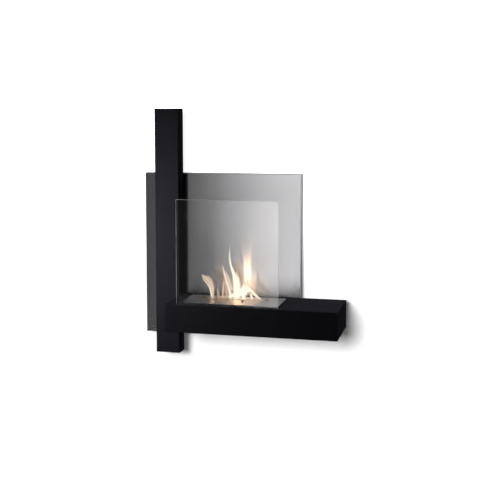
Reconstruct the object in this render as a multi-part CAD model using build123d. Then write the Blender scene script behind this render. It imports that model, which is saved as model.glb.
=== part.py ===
from build123d import *

import os

# A wall-hung bioethanol fireplace, in millimetres. +Z is up, +X runs along the beam and +Y points into
# the wall. The wall is the plane y = 0, and the origin is the middle of the wall rail's screw holes.

os.makedirs("parts", exist_ok=True)

# ---- Wall rail and the hanger rail that hooks over it
rail_holes_x = 480.0
rail_holes_z = 36.0
rail_hole_radius = 3.5
rail_edge = 20.0
rail_height = 64.0
rail_sheet = 3.0
rail_hook_room = 14.0
rail_lip = 20.0
hook_headroom = 2.0
hanger_sheet = 3.0
hanger_flange = 50.0

# ---- Back panel: a shallow tray of brushed steel
panel_width = 655.0
panel_height = 670.0
panel_standoff = 42.0
panel_sheet = 1.5
panel_rear_flange = 14.0
panel_wall_gap = 2.0
panel_bend = 2.0
panel_top_above_rail = 100.0

# ---- Frame behind the panel
carrier_height = 80.0
carrier_depth = 22.0
carrier_sheet = 3.0
frame_margin = 30.0
upright_width = 40.0
upright_depth = 20.0
upright_sheet = 2.0
upright_spacing = 250.0
buffer_radius = 15.0
buffer_inset = 40.0
lock_inset = 107.5
lock_width = 30.0
lock_height = 45.0
lock_reach = 30.0
lock_sheet = 3.0
lock_hole_radius = 3.25
lock_hole_up = 30.0
lock_screw_radius = 2.5
lock_screw_head_radius = 4.5
lock_screw_head = 3.0
lock_screw_length = 9.0

# ---- Column
column_width = 100.0
column_depth = 70.0
column_height = 1000.0
column_wall = 2.0
column_bend = 2.5
column_cap = 3.0
column_cap_skirt = 12.0
column_inset = 65.0
panel_above_foot = 68.0

# ---- Beam
beam_length = 675.0
beam_height = 110.0
beam_depth = 260.0
beam_sheet = 2.0
beam_bend = 2.5
beam_above_foot = 130.0
joint_plate = 4.0
end_cap = 2.0
end_cap_skirt = 12.0
cap_screw_radius = 2.0
cap_screw_head_radius = 4.0
cap_screw_length = 8.0
rib_sheet = 2.0
rib_margin = 12.0
rib_border = 22.0

# ---- M8 bolts, washers and the tapped strips that they screw into
bolt_radius = 4.0
bolt_head_across = 13.0
bolt_head = 5.3
bolt_hole_radius = 4.5
bolt_end = 3.0
washer_radius = 8.0
washer = 1.6
strip = 6.0
strip_width = 40.0
strip_end = 15.0
column_bolts_x = 50.0
side_bolts_z = 50.0
beam_bolts_z = 48.0
beam_bolt_columns = 3
beam_bolt_inset = 60.0

# ---- Glass screen and its channel
glass_width = 404.0
glass_height_above_beam = 410.0
glass = 5.0
glass_corner = 3.0
glass_behind_front = 15.0
glass_in_channel = 18.0
glass_end_room = 1.0
gasket = 1.5
channel_sheet = 2.0
pad = 3.0
pad_length = 30.0
pad_inset = 60.0

# ---- Burner insert
burner_plate_x = 388.0
burner_plate_y = 170.0
burner_plate = 2.0
burner_plate_corner = 2.0
burner_behind_front = 131.0
burner_lap = 8.0
tank_room = 6.0
tank_depth = 60.0
tank_sheet = 1.5
slot_length = 264.0
slot_width = 24.0
slot_corner = 4.0
slot_behind_middle = 31.0
wool_height = 42.0
wool_room = 0.5
retainer = 1.0
retainer_slots = 12
retainer_slot_share = 0.6

# ---- Snuffer
slide_lap_x = 10.0
slide_lap_y = 5.0
slide = 1.5
slide_park = 1.0
slide_tab = 16.0
knob_x = 39.5
knob_radius = 4.5
knob_height = 6.0
knob_edge = 0.8
stem_radius = 2.5
stem_room = 0.4
stem_web = 5.0
guide_sheet = 1.0
guide_lip = 4.0
guide_end = 8.0

# ---- Heat tray
heat_tray_room = 5.0
heat_tray_depth = 84.0
heat_tray_sheet = 1.0
heat_tray_flange = 12.0

# ---- Clearances
seat_gap = 0.3
thread_gap = 0.05
skirt_gap = 0.2

# ---- Places that follow from the sizes
rail_top = rail_height / 2
hanger_top = rail_top + rail_lip + hook_headroom + hanger_sheet
hanger_bottom = hanger_top - hanger_flange

panel_left = -panel_width / 2
panel_right = panel_width / 2
panel_top = panel_top_above_rail
panel_bottom = panel_top - panel_height
panel_front = -panel_standoff
panel_back = panel_front + panel_sheet

foot = panel_bottom - panel_above_foot
column_left = panel_left + column_inset
column_right = column_left + column_width
column_middle = (column_left + column_right) / 2
column_front = panel_front - column_depth
column_top = foot + column_height

beam_left = column_right
beam_right = beam_left + beam_length
beam_bottom = foot + beam_above_foot
beam_top = beam_bottom + beam_height
beam_middle = (beam_bottom + beam_top) / 2
beam_front = panel_front - beam_depth

burner_x = (column_right + panel_right) / 2
burner_y = beam_front + burner_behind_front
burner_seat = beam_top + seat_gap
burner_top = burner_seat + burner_plate
cutout_x = burner_plate_x - 2 * burner_lap
cutout_y = burner_plate_y - 2 * burner_lap
tank_x = cutout_x - 2 * tank_room
tank_y = cutout_y - 2 * tank_room
slot_y = burner_y + slot_behind_middle
wool_top = burner_seat - tank_depth + tank_sheet + wool_height

slide_width = slot_width + 2 * slide_lap_y
slide_travel = slot_width / 2 + slide_park + slide_width / 2
slide_y = slot_y - slide_travel
slide_top = burner_seat - seat_gap
slide_length = slot_length + 2 * slide_lap_x
stem_hole = stem_radius + stem_room
knob_behind = slot_width / 2 + stem_web + stem_hole
knob_y = slide_y - knob_behind

glass_y = beam_front + glass_behind_front
channel_room = glass + 2 * (gasket + seat_gap)
channel_x = glass_width + 2 * glass_end_room
glass_bottom = beam_top - glass_in_channel
glass_top = beam_top + glass_height_above_beam
channel_floor = glass_bottom - seat_gap - pad

heat_tray_x = cutout_x + 2 * heat_tray_room
heat_tray_y = cutout_y + 2 * heat_tray_room
heat_tray_top = beam_top - beam_sheet

shell_start = beam_left + joint_plate
shell_end = beam_right - end_cap
strip_back = panel_front - beam_sheet
strip_front = strip_back - strip
inside_half = max(heat_tray_x / 2 + heat_tray_sheet + heat_tray_flange, channel_x / 2)


# ---- Plain shapes between pairs of limits
def around(middle, width):
    """The pair of limits that lie half a width each side of a middle."""
    return (middle - width / 2, middle + width / 2)


def grown(limits, amount):
    """A pair of limits, moved outwards, or inwards if the amount is negative."""
    return (limits[0] - amount, limits[1] + amount)


def block(x, y, z):
    """A box between three pairs of limits."""
    middle = Pos((x[0] + x[1]) / 2, (y[0] + y[1]) / 2, (z[0] + z[1]) / 2)
    return middle * Box(x[1] - x[0], y[1] - y[0], z[1] - z[0])


def rod_x(radius, x, y, z):
    """A round bar along X, where x is a pair of limits."""
    return Pos((x[0] + x[1]) / 2, y, z) * Rot(0, 90, 0) * Cylinder(radius, x[1] - x[0])


def rod_y(radius, x, y, z):
    """A round bar along Y, where y is a pair of limits."""
    return Pos(x, (y[0] + y[1]) / 2, z) * Rot(90, 0, 0) * Cylinder(radius, y[1] - y[0])


def rod_z(radius, x, y, z):
    """A round bar along Z, where z is a pair of limits."""
    return Pos(x, y, (z[0] + z[1]) / 2) * Cylinder(radius, z[1] - z[0])


def hexagon(height):
    """A bolt's head, lying on z = 0."""
    return extrude(RegularPolygon(bolt_head_across / 2, 6, major_radius=False), height)


def rounded(shape, axis, radius):
    """The shape with its edges along one axis rounded."""
    return fillet(shape.edges().filter_by(axis), radius)


def spread(middle, spacing, count):
    """Evenly spaced places about a middle."""
    return [middle + spacing * (place - (count - 1) / 2) for place in range(count)]


# ---- Where the bolts go
upper_column_z = hanger_top - hanger_flange / 2
column_bolt_places = [
    (x, z)
    for x in spread(column_middle, column_bolts_x, 2)
    for z in (upper_column_z, beam_middle)
]
side_bolt_y = panel_front - column_depth / 2
side_bolt_places = [(side_bolt_y, z) for z in spread(beam_middle, side_bolts_z, 2)]
beam_bolt_first = beam_left + beam_bolt_inset
beam_bolt_last = panel_right - beam_bolt_inset
beam_bolt_pitch = (beam_bolt_last - beam_bolt_first) / (beam_bolt_columns - 1)
beam_bolt_places = [
    (x, z)
    for x in spread((beam_bolt_first + beam_bolt_last) / 2, beam_bolt_pitch, beam_bolt_columns)
    for z in spread(beam_middle, beam_bolts_z, 2)
]
buffer_places = (panel_left + buffer_inset, panel_right - buffer_inset)
lock_places = (panel_left + lock_inset, panel_right - lock_inset)
lock_screw_y = -lock_reach / 2
lock_seat = panel_bottom + panel_sheet


def bolt_holes_y(places, radius, y):
    """Holes along Y at each place."""
    return [rod_y(radius, x, y, z) for x, z in places]


# ---- Wall rail, hanger rail and the frame behind the panel
def wall_rail():
    along = around(0, rail_holes_x + 2 * rail_edge)
    lip_back = -rail_hook_room
    flange = block(along, (-rail_sheet, 0), around(0, rail_height))
    ledge = block(along, (lip_back - rail_sheet, 0), (rail_top - rail_sheet, rail_top))
    lip = block(along, (lip_back - rail_sheet, lip_back), (rail_top - rail_sheet, rail_top + rail_lip))
    holes = [
        rod_y(rail_hole_radius, x, (-2 * rail_sheet, rail_sheet), z)
        for x in spread(0, rail_holes_x, 2)
        for z in spread(0, rail_holes_z, 2)
    ]
    return flange + ledge + lip - holes


def hanger_rail():
    along = (panel_left + frame_margin, panel_right - frame_margin)
    lip_front = -rail_hook_room
    flange = block(along, (panel_back, panel_back + hanger_sheet), (hanger_bottom, hanger_top))
    web = block(along, (panel_back, lip_front + hanger_sheet), (hanger_top - hanger_sheet, hanger_top))
    lip = block(along, (lip_front, lip_front + hanger_sheet), (rail_top, hanger_top))
    holes = bolt_holes_y(column_bolt_places, bolt_hole_radius, (panel_front, lip_front))
    return flange + web + lip - holes


def channel_on_panel(x, z, depth, sheet, open_along_x):
    """A U section, its web on the panel's inner face and its legs towards the wall."""
    outside = block(x, (panel_back, panel_back + depth), z)
    inner_x = grown(x, sheet) if open_along_x else grown(x, -sheet)
    inner_z = grown(z, -sheet) if open_along_x else grown(z, sheet)
    inside = block(inner_x, (panel_back + sheet, panel_back + depth + sheet), inner_z)
    return outside - inside


def beam_carrier():
    along = (panel_left + frame_margin, panel_right - frame_margin)
    height = around(beam_middle, carrier_height)
    section = channel_on_panel(along, height, carrier_depth, carrier_sheet, True)
    places = beam_bolt_places + column_bolt_places
    return section - bolt_holes_y(places, bolt_hole_radius, (panel_front, panel_back + carrier_depth))


def upright(x):
    height = (beam_middle + carrier_height / 2, hanger_bottom)
    return channel_on_panel(around(x, upright_width), height, upright_depth, upright_sheet, False)


def wall_buffer(x):
    return rod_y(buffer_radius, x, (panel_back, 0), panel_bottom + buffer_inset)


def lock_bracket(x):
    width = around(x, lock_width)
    flange = block(width, (-lock_sheet, 0), (lock_seat, lock_seat + lock_height))
    foot_leg = block(width, (-lock_reach, 0), (lock_seat, lock_seat + lock_sheet))
    wall_hole = rod_y(lock_hole_radius, x, (-2 * lock_sheet, lock_sheet), lock_seat + lock_hole_up)
    tapped = (panel_bottom, lock_seat + 2 * lock_sheet)
    screw_hole = rod_z(lock_screw_radius + thread_gap, x, lock_screw_y, tapped)
    return flange + foot_leg - wall_hole - screw_hole


def lock_screw(x):
    head = rod_z(lock_screw_head_radius, x, lock_screw_y, (panel_bottom - lock_screw_head, panel_bottom))
    head = fillet(head.faces().sort_by(Axis.Z)[0].edges(), lock_screw_head / 2)
    shank = rod_z(lock_screw_radius, x, lock_screw_y, (panel_bottom, panel_bottom + lock_screw_length))
    return head + shank


# ---- Back panel
def back_panel():
    outside = block((panel_left, panel_right), (panel_front, -panel_wall_gap), (panel_bottom, panel_top))
    outside = rounded(outside, Axis.Y, panel_bend)
    outside = fillet(outside.faces().sort_by(Axis.Y)[0].edges(), panel_bend)
    wide = grown((panel_left, panel_right), -panel_sheet)
    tall = grown((panel_bottom, panel_top), -panel_sheet)
    pocket = block(wide, (panel_back, -panel_wall_gap - panel_sheet), tall)
    behind = (panel_back, 0)
    mouth = block(grown(wide, -panel_rear_flange), behind, (tall[0], tall[1] - panel_rear_flange))
    through = (panel_front - panel_sheet, panel_back + panel_sheet)
    holes = bolt_holes_y(column_bolt_places + beam_bolt_places, bolt_hole_radius, through)
    below = (panel_bottom - panel_sheet, lock_seat + panel_sheet)
    holes += [rod_z(lock_screw_radius + stem_room, x, lock_screw_y, below) for x in lock_places]
    return outside - pocket - mouth - holes


# ---- Column
def column_section(z):
    """The column's outer shape, between two heights."""
    section = block((column_left, column_right), (column_front, panel_front), z)
    return rounded(section, Axis.Z, column_bend)


def column_inside(z, room):
    """The space inside the column, less a clearance all round."""
    inner_x = grown((column_left, column_right), -column_wall - room)
    inner_y = grown((column_front, panel_front), -column_wall - room)
    return block(inner_x, inner_y, z)


def column_tube():
    height = (foot + column_cap, column_top - column_cap)
    tube = column_section(height) - column_inside(grown(height, column_cap), 0)
    back_holes = (panel_front - column_bend, panel_front + column_wall)
    tube -= bolt_holes_y(column_bolt_places, bolt_hole_radius, back_holes)
    side_holes = (column_right - column_bend, column_right + column_wall)
    return tube - [rod_x(bolt_hole_radius, side_holes, y, z) for y, z in side_bolt_places]


def column_lid(plate, skirt):
    """A cap plate with a folded skirt that slips into the column."""
    ring = column_inside(skirt, skirt_gap) - column_inside(skirt, skirt_gap + column_wall)
    return column_section(plate) + ring


def column_top_cap():
    plate = (column_top - column_cap, column_top)
    return column_lid(plate, (plate[0] - column_cap_skirt, plate[0]))


def column_foot_cap():
    plate = (foot, foot + column_cap)
    return column_lid(plate, (plate[1], plate[1] + column_cap_skirt))


def column_strip(z):
    """A tapped strip on the inside of the column's back wall."""
    back = panel_front - column_wall
    length = around(column_middle, column_bolts_x + 2 * strip_end)
    bar = block(length, (back - strip, back), around(z, strip_width))
    places = [(x, z) for x in spread(column_middle, column_bolts_x, 2)]
    return bar - bolt_holes_y(places, bolt_radius + thread_gap, (back - 2 * strip, back + strip))


def column_side_strip():
    """A tapped strip on the inside of the column's right wall, for the beam's side bolts."""
    face = column_right - column_wall
    height = around(beam_middle, side_bolts_z + 2 * strip_end)
    depth = around(side_bolt_y, min(strip_width, column_depth / 2))
    bar = block((face - strip, face), depth, height)
    through = (face - 2 * strip, face + strip)
    return bar - [rod_x(bolt_radius + thread_gap, through, y, z) for y, z in side_bolt_places]


# ---- Bolts and washers
def bolt_y(x, seat, end, z):
    """A bolt along Y, with its head behind a washer on the seat and its end in front."""
    under_head = seat + washer
    head = Pos(x, under_head, z) * Rot(-90, 0, 0) * hexagon(bolt_head)
    return head + rod_y(bolt_radius, x, (end, under_head), z)


def washer_y(x, seat, z):
    ring = rod_y(washer_radius, x, (seat, seat + washer), z)
    return ring - rod_y(bolt_radius + thread_gap, x, (seat - washer, seat + 2 * washer), z)


def bolt_x(seat, end, y, z):
    """A bolt along X, with its head right of a washer on the seat and its end to the left."""
    under_head = seat + washer
    head = Pos(under_head, y, z) * Rot(0, 90, 0) * hexagon(bolt_head)
    return head + rod_x(bolt_radius, (end, under_head), y, z)


def washer_x(seat, y, z):
    ring = rod_x(washer_radius, (seat, seat + washer), y, z)
    return ring - rod_x(bolt_radius + thread_gap, (seat - washer, seat + 2 * washer), y, z)


def column_bolt_seat(z):
    """The face that a column bolt's washer lies on: the hanger rail's or the carrier's."""
    return panel_back + (hanger_sheet if z > beam_middle else carrier_sheet)


def column_bolts():
    end = panel_front - column_wall - strip - bolt_end
    return [bolt_y(x, column_bolt_seat(z), end, z) for x, z in column_bolt_places]


def column_washers():
    return [washer_y(x, column_bolt_seat(z), z) for x, z in column_bolt_places]


def beam_bolts():
    seat = panel_back + carrier_sheet
    return [bolt_y(x, seat, strip_front - bolt_end, z) for x, z in beam_bolt_places]


def beam_washers():
    return [washer_y(x, panel_back + carrier_sheet, z) for x, z in beam_bolt_places]


def side_bolts():
    end = column_right - column_wall - strip - bolt_end
    return [bolt_x(shell_start, end, y, z) for y, z in side_bolt_places]


def side_washers():
    return [washer_x(shell_start, y, z) for y, z in side_bolt_places]


# ---- Beam
def beam_section(x):
    """The beam's outer shape, between two places along it."""
    section = block(x, (beam_front, panel_front), (beam_bottom, beam_top))
    return rounded(section, Axis.X, beam_bend)


def beam_inside(x, room):
    """The space inside the beam, less a clearance all round."""
    inner_y = grown((beam_front, panel_front), -beam_sheet - room)
    inner_z = grown((beam_bottom, beam_top), -beam_sheet - room)
    return block(x, inner_y, inner_z)


def end_cap_screw_places():
    """Along the beam and across it, where the end cap's screws go up through the beam's bottom."""
    x = shell_end - end_cap_skirt / 2
    return [(x, y) for y in spread((beam_front + panel_front) / 2, beam_depth / 2, 2)]


def beam_casing():
    along = (shell_start, shell_end)
    casing = beam_section(along) - beam_inside(grown(along, beam_sheet), 0)
    through_top = (beam_top - 2 * beam_sheet, beam_top + beam_sheet)
    casing -= block(around(burner_x, cutout_x), around(burner_y, cutout_y), through_top)
    casing -= block(around(burner_x, channel_x), around(glass_y, channel_room), through_top)
    back_holes = (strip_back - beam_sheet, panel_front + beam_sheet)
    casing -= bolt_holes_y(beam_bolt_places, bolt_hole_radius, back_holes)
    through_bottom = (beam_bottom - beam_sheet, beam_bottom + 2 * beam_sheet)
    return casing - [
        rod_z(cap_screw_radius + thread_gap, x, y, through_bottom) for x, y in end_cap_screw_places()
    ]


def beam_joint_plate():
    plate = beam_section((beam_left, shell_start))
    through = (beam_left - joint_plate, shell_start + joint_plate)
    return plate - [rod_x(bolt_hole_radius, through, y, z) for y, z in side_bolt_places]


def beam_end_cap():
    skirt = (shell_end - end_cap_skirt, shell_end)
    ring = beam_inside(skirt, skirt_gap) - beam_inside(skirt, skirt_gap + beam_sheet)
    cap = beam_section((shell_end, beam_right)) + ring
    through = (beam_bottom, beam_bottom + 3 * beam_sheet)
    return cap - [rod_z(cap_screw_radius + thread_gap, x, y, through) for x, y in end_cap_screw_places()]


def end_cap_screw(x, y):
    head = rod_z(cap_screw_head_radius, x, y, (beam_bottom - cap_screw_radius, beam_bottom))
    head = fillet(head.faces().sort_by(Axis.Z)[0].edges(), cap_screw_radius / 2)
    return head + rod_z(cap_screw_radius, x, y, (beam_bottom, beam_bottom + cap_screw_length))


def beam_fixing_strip():
    """A tapped strip on the inside of the beam's back wall."""
    along = (beam_bolt_first - strip_end, beam_bolt_last + strip_end)
    height = around(beam_middle, beam_bolts_z + 2 * strip_end)
    bar = block(along, (strip_front, strip_back), height)
    through = (strip_front - strip, strip_back + strip)
    return bar - bolt_holes_y(beam_bolt_places, bolt_radius + thread_gap, through)


def beam_rib(x):
    """A rib across the beam's inside, with a large lightening hole."""
    wide = (beam_front + beam_sheet, strip_back)
    tall = (beam_bottom + beam_sheet, beam_top - beam_sheet)
    thick = around(x, rib_sheet)
    hole = block(grown(thick, rib_sheet), grown(wide, -rib_border), grown(tall, -rib_border))
    return block(thick, wide, tall) - rounded(hole, Axis.X, rib_border / 2)


def rib_places():
    """One rib each side of the burner, and one halfway along the beam's open end."""
    left = (shell_start + burner_x - inside_half) / 2
    right = burner_x + inside_half + rib_margin
    return (left, right, (right + shell_end) / 2)


# ---- Heat tray, glass channel and glass
def heat_tray():
    wide = around(burner_x, heat_tray_x)
    deep = around(burner_y, heat_tray_y)
    tall = (heat_tray_top - heat_tray_depth, heat_tray_top)
    lip = (heat_tray_top - heat_tray_sheet, heat_tray_top)
    outside = block(grown(wide, heat_tray_sheet), grown(deep, heat_tray_sheet), tall)
    reach = heat_tray_sheet + heat_tray_flange
    flange = block(grown(wide, reach), grown(deep, reach), lip)
    inside = block(wide, deep, (tall[0] + heat_tray_sheet, tall[1] + heat_tray_sheet))
    return outside + flange - inside


def glass_channel():
    top = beam_top - beam_sheet
    along = around(burner_x, channel_x)
    across = around(glass_y, channel_room)
    outside = block(along, grown(across, channel_sheet), (channel_floor - channel_sheet, top))
    return outside - block(grown(along, channel_sheet), across, (channel_floor, top + channel_sheet))


def glass_gasket(side):
    """A rubber strip along one side of the glass: side is -1 in front and 1 behind."""
    outer = glass_y + side * channel_room / 2
    inner = outer - side * gasket
    across = (min(inner, outer), max(inner, outer))
    return block(around(burner_x, channel_x), across, (channel_floor, beam_top))


def glass_pads():
    ends = (burner_x - glass_width / 2 + pad_inset, burner_x + glass_width / 2 - pad_inset)
    height = (channel_floor, channel_floor + pad)
    return [block(around(x, pad_length), around(glass_y, glass), height) for x in ends]


def glass_screen():
    sheet = block(around(burner_x, glass_width), around(glass_y, glass), (glass_bottom, glass_top))
    upper = sheet.edges().filter_by(Axis.Y).sort_by(Axis.Z)[-2:]
    return fillet(upper, glass_corner)


# ---- Burner insert
def burner_top_plate():
    height = (burner_seat, burner_top)
    plate = block(around(burner_x, burner_plate_x), around(burner_y, burner_plate_y), height)
    plate = rounded(plate, Axis.Z, burner_plate_corner)
    through = grown(height, burner_plate)
    slot = block(around(burner_x, slot_length), around(slot_y, slot_width), through)
    plate -= rounded(slot, Axis.Z, slot_corner)
    knob_run = (knob_y, knob_y + slide_travel)
    groove = block(around(burner_x + knob_x, 2 * stem_hole), knob_run, through)
    groove += [rod_z(stem_hole, burner_x + knob_x, y, through) for y in knob_run]
    return plate - groove


def burner_tank():
    wide = around(burner_x, tank_x)
    deep = around(burner_y, tank_y)
    outside = block(wide, deep, (burner_seat - tank_depth, burner_seat))
    outside = rounded(outside, Axis.Z, burner_plate_corner)
    above_floor = (burner_seat - tank_depth + tank_sheet, burner_seat + tank_sheet)
    return outside - block(grown(wide, -tank_sheet), grown(deep, -tank_sheet), above_floor)


def wool_block():
    wide = grown(around(burner_x, tank_x), -tank_sheet - wool_room)
    deep = grown(around(burner_y, tank_y), -tank_sheet - wool_room)
    return block(wide, deep, (wool_top - wool_height, wool_top))


def wool_retainer():
    wide = grown(around(burner_x, tank_x), -tank_sheet - wool_room)
    deep = grown(around(burner_y, tank_y), -tank_sheet - wool_room)
    plate = block(wide, deep, (wool_top, wool_top + retainer))
    pitch = slot_length / retainer_slots
    through = (wool_top - retainer, wool_top + 2 * retainer)
    openings = [
        block(around(x, pitch * retainer_slot_share), around(slot_y, slot_width), through)
        for x in spread(burner_x, pitch, retainer_slots)
    ]
    return plate - openings


# ---- Snuffer
def slide_guide(side):
    """A folded strip that carries one end of the slide: side is -1 at the left and 1 at the right."""
    inner = burner_x + side * (slide_length / 2 + seat_gap)
    outer = inner + side * guide_sheet
    under = slide_top - slide - seat_gap
    run = (slide_y - slide_width / 2 - guide_end, slot_y + slide_width / 2 + guide_end)
    leg = block((min(inner, outer), max(inner, outer)), run, (under - guide_sheet, burner_seat))
    tip = inner - side * guide_lip
    lip = block((min(tip, outer), max(tip, outer)), run, (under - guide_sheet, under))
    return leg + lip


def snuffer_slide():
    height = (slide_top - slide, slide_top)
    plate = block(around(burner_x, slide_length), around(slide_y, slide_width), height)
    tab_front = knob_y - stem_radius - stem_web
    tab = block(around(burner_x + knob_x, slide_tab), (tab_front, slide_y), height)
    return plate + tab


def snuffer_knob():
    x = burner_x + knob_x
    stem = rod_z(stem_radius, x, knob_y, (slide_top, burner_top + knob_height))
    head = rod_z(knob_radius, x, knob_y, (burner_top + seat_gap, burner_top + knob_height))
    head = chamfer(head.edges().filter_by(GeomType.CIRCLE), knob_edge)
    return stem + head


ribs = rib_places()
pieces = {
    "wall_rail": wall_rail(),
    "hanger_rail": hanger_rail(),
    "beam_carrier": beam_carrier(),
    "upright_left": upright(-upright_spacing / 2),
    "upright_right": upright(upright_spacing / 2),
    "wall_buffer_left": wall_buffer(buffer_places[0]),
    "wall_buffer_right": wall_buffer(buffer_places[1]),
    "lock_bracket_left": lock_bracket(lock_places[0]),
    "lock_bracket_right": lock_bracket(lock_places[1]),
    "lock_screws": [lock_screw(x) for x in lock_places],
    "back_panel": back_panel(),
    "column_tube": column_tube(),
    "column_top_cap": column_top_cap(),
    "column_foot_cap": column_foot_cap(),
    "column_strip_upper": column_strip(upper_column_z),
    "column_strip_lower": column_strip(beam_middle),
    "column_side_strip": column_side_strip(),
    "column_bolts": column_bolts(),
    "column_washers": column_washers(),
    "beam_casing": beam_casing(),
    "beam_joint_plate": beam_joint_plate(),
    "beam_end_cap": beam_end_cap(),
    "end_cap_screws": [end_cap_screw(x, y) for x, y in end_cap_screw_places()],
    "beam_fixing_strip": beam_fixing_strip(),
    "beam_bolts": beam_bolts(),
    "beam_washers": beam_washers(),
    "side_bolts": side_bolts(),
    "side_washers": side_washers(),
    "beam_rib_left": beam_rib(ribs[0]),
    "beam_rib_middle": beam_rib(ribs[1]),
    "beam_rib_right": beam_rib(ribs[2]),
    "heat_tray": heat_tray(),
    "glass_channel": glass_channel(),
    "glass_gasket_front": glass_gasket(-1),
    "glass_gasket_back": glass_gasket(1),
    "glass_pads": glass_pads(),
    "glass_screen": glass_screen(),
    "burner_top_plate": burner_top_plate(),
    "burner_tank": burner_tank(),
    "wool_block": wool_block(),
    "wool_retainer": wool_retainer(),
    "slide_guide_left": slide_guide(-1),
    "slide_guide_right": slide_guide(1),
    "snuffer_slide": snuffer_slide(),
    "snuffer_knob": snuffer_knob(),
}

for name, shape in pieces.items():
    solid = Compound(children=shape) if isinstance(shape, list) else shape
    export_step(solid, f"parts/{name}.step")
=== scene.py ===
# %% [markdown]
# # A wall-hung bioethanol fireplace
# A black column and a black beam cross a brushed steel panel that hangs off a wall. A steel burner lies
# in the beam's top, a clear glass screen stands in front of it, and the fire is lit.
#
# The metalwork, the glass and every screw come from the CAD model, and stay exactly where they are. This
# script gives them their finishes, makes the two things that CAD can't (the ceramic wool and the flames),
# and sets up a wall, lamps and a camera. Everything is in metres, +Z is up, and the wall is the plane y = 0.

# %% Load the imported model
import math

import bmesh
import bpy
import numpy as np
from mathutils import Matrix, Vector


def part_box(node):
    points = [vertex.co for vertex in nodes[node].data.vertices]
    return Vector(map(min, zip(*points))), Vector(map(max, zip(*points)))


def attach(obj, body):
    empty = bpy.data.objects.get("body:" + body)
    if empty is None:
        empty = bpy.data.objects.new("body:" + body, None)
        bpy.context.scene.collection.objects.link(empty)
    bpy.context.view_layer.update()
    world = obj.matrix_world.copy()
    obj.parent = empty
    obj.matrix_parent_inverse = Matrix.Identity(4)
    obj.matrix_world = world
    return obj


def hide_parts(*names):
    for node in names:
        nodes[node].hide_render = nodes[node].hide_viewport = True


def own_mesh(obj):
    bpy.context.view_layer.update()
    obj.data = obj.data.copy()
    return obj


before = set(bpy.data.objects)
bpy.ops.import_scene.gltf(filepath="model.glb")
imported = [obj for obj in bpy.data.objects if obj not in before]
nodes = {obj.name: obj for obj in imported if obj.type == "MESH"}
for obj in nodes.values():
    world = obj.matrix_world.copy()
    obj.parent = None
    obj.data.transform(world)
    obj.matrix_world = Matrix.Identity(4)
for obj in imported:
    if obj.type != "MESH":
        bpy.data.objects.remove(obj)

MM = 0.001
scene = bpy.context.scene
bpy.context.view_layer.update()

# %% [markdown]
# ## The camera
# The photograph was taken a little from the right, from about the height of the column's top, and the
# fireplace sits left of the picture's middle. A camera looks along its own -Z axis, so its axes are built
# from a yaw, a pitch and a small roll, and then put in the columns of its matrix. The shift slides the
# frame sideways without turning the camera, as a view camera does, so that upright edges stay upright.

# %% Camera
picture_width = 500.0
focal_pixels = 954.71
optical_centre = (223.88, 218.98)
camera_place = Vector((0.97849, -3.79414, 0.32857))
camera_yaw = math.radians(14.49)
camera_pitch = math.radians(6.11)
camera_roll = math.radians(-0.11)

forward = Vector((
    -math.sin(camera_yaw) * math.cos(camera_pitch),
    math.cos(camera_yaw) * math.cos(camera_pitch),
    -math.sin(camera_pitch),
))
level_right = Vector((math.cos(camera_yaw), math.sin(camera_yaw), 0.0))
level_up = level_right.cross(forward)
right = math.cos(camera_roll) * level_right + math.sin(camera_roll) * level_up
up = math.cos(camera_roll) * level_up - math.sin(camera_roll) * level_right

camera_data = bpy.data.cameras.new("camera")
camera_data.sensor_width = 36.0
camera_data.lens = camera_data.sensor_width * focal_pixels / picture_width
camera_data.shift_x = (picture_width / 2 - optical_centre[0]) / picture_width
camera_data.shift_y = (optical_centre[1] - picture_width / 2) / picture_width
camera = bpy.data.objects.new("camera", camera_data)
camera.matrix_world = Matrix.Translation(camera_place) @ Matrix((right, up, -forward)).transposed().to_4x4()
scene.collection.objects.link(camera)
scene.camera = camera
print("camera lens", round(camera_data.lens, 2), "mm")

# %% [markdown]
# ## Writing shaders as sums
# A finish is a small network of nodes. Drawn by hand it is a tangle, so two short classes let the script
# write it as arithmetic instead. A Wire holds one output socket, and +, -, * and so on between wires and
# numbers add the Math nodes. A Recipe owns one node tree, and its node() method adds any other node: its
# type, its settings, and then the numbers or wires of its sockets.

# %% Wires and recipes
class Wire:
    """One output socket, usable in sums with other wires and with numbers."""

    def __init__(self, recipe, socket):
        self.recipe = recipe
        self.socket = socket

    def __add__(self, other):
        return self.recipe.maths("ADD", self, other)

    def __radd__(self, other):
        return self.recipe.maths("ADD", other, self)

    def __sub__(self, other):
        return self.recipe.maths("SUBTRACT", self, other)

    def __rsub__(self, other):
        return self.recipe.maths("SUBTRACT", other, self)

    def __mul__(self, other):
        return self.recipe.maths("MULTIPLY", self, other)

    def __rmul__(self, other):
        return self.recipe.maths("MULTIPLY", other, self)

    def __truediv__(self, other):
        return self.recipe.maths("DIVIDE", self, other)

    def __pow__(self, other):
        return self.recipe.maths("POWER", self, other)

    def __gt__(self, other):
        return self.recipe.maths("GREATER_THAN", self, other)

    def __lt__(self, other):
        return self.recipe.maths("LESS_THAN", self, other)

    def __abs__(self):
        return self.recipe.maths("ABSOLUTE", self)

    def clamped(self):
        """The same value, held between 0 and 1."""
        return self.recipe.maths("ADD", self, 0.0, use_clamp=True)

    def ramp(self, start, end):
        """0 up to start, 1 from end on, and a smooth step between them."""
        node = self.recipe.node("ShaderNodeMapRange", {"interpolation_type": "SMOOTHSTEP"}, {
            "Value": self, "From Min": start, "From Max": end,
        })
        return self.recipe.wire(node)


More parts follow.
